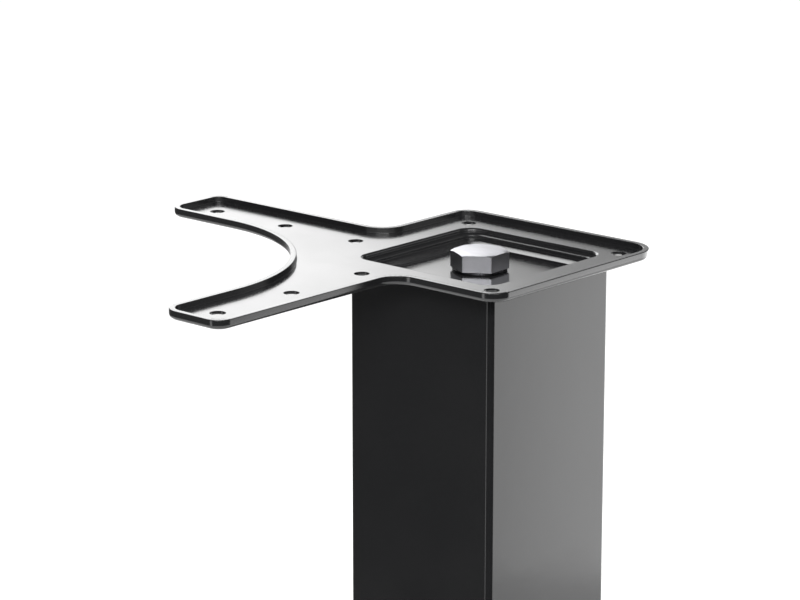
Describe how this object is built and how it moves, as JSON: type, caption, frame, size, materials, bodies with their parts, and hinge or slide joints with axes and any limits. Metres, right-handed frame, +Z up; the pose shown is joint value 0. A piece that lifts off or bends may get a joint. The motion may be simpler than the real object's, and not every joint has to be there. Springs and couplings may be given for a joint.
{
  "type": "square metal table leg",
  "caption": "Square steel table leg with an L-shaped corner mounting plate, stepped recess with a hex bolt, and an adjustable foot.",
  "frame": {"origin": "centre of the foot's sole on the floor, on the tube's axis", "axes": "+Z up along the tube; one arm of the plate runs along -X and the other along -Y"},
  "size_m": [0.1625, 0.1625, 0.71],
  "materials": {
    "plate_black": "gloss",
    "tube_black": "gloss",
    "bolt_steel": "bright",
    "washer_black": "satin",
    "plain_steel": "satin",
    "plug_plastic": "matte",
    "bush_brass": "satin",
    "zinc_steel": "satin",
    "pad_plastic": "matte",
    "sole_rubber": "matte"
  },
  "bodies": {
    "leg": {"corner_plate": "plate_black", "leg_tube": "tube_black", "plate_bolt": "bolt_steel", "bolt_washer": "washer_black", "tube_anchor": "plain_steel", "anchor_nut": "plain_steel", "end_plug": "plug_plastic", "plug_bush": "bush_brass"},
    "foot": {"foot_pad": "pad_plastic", "foot_sole": "sole_rubber"},
    "stud": {"foot_stud": "zinc_steel"}
  },
  "joints": [
    {"name": "foot_height", "type": "slide", "parent": "leg", "child": "foot", "axis": [0, 0, -1], "range_m": [0, 0.015]},
    {"name": "stud_turn", "type": "hinge", "parent": "foot", "child": "stud", "pos_m": [0, 0, 0.0165], "axis": [0, 0, -1], "range_deg": [0, 3600]}
  ],
  "couplings": [
    {"joint": "stud_turn", "follows": "foot_height", "rad_per_m": 4188.8}
  ]
}
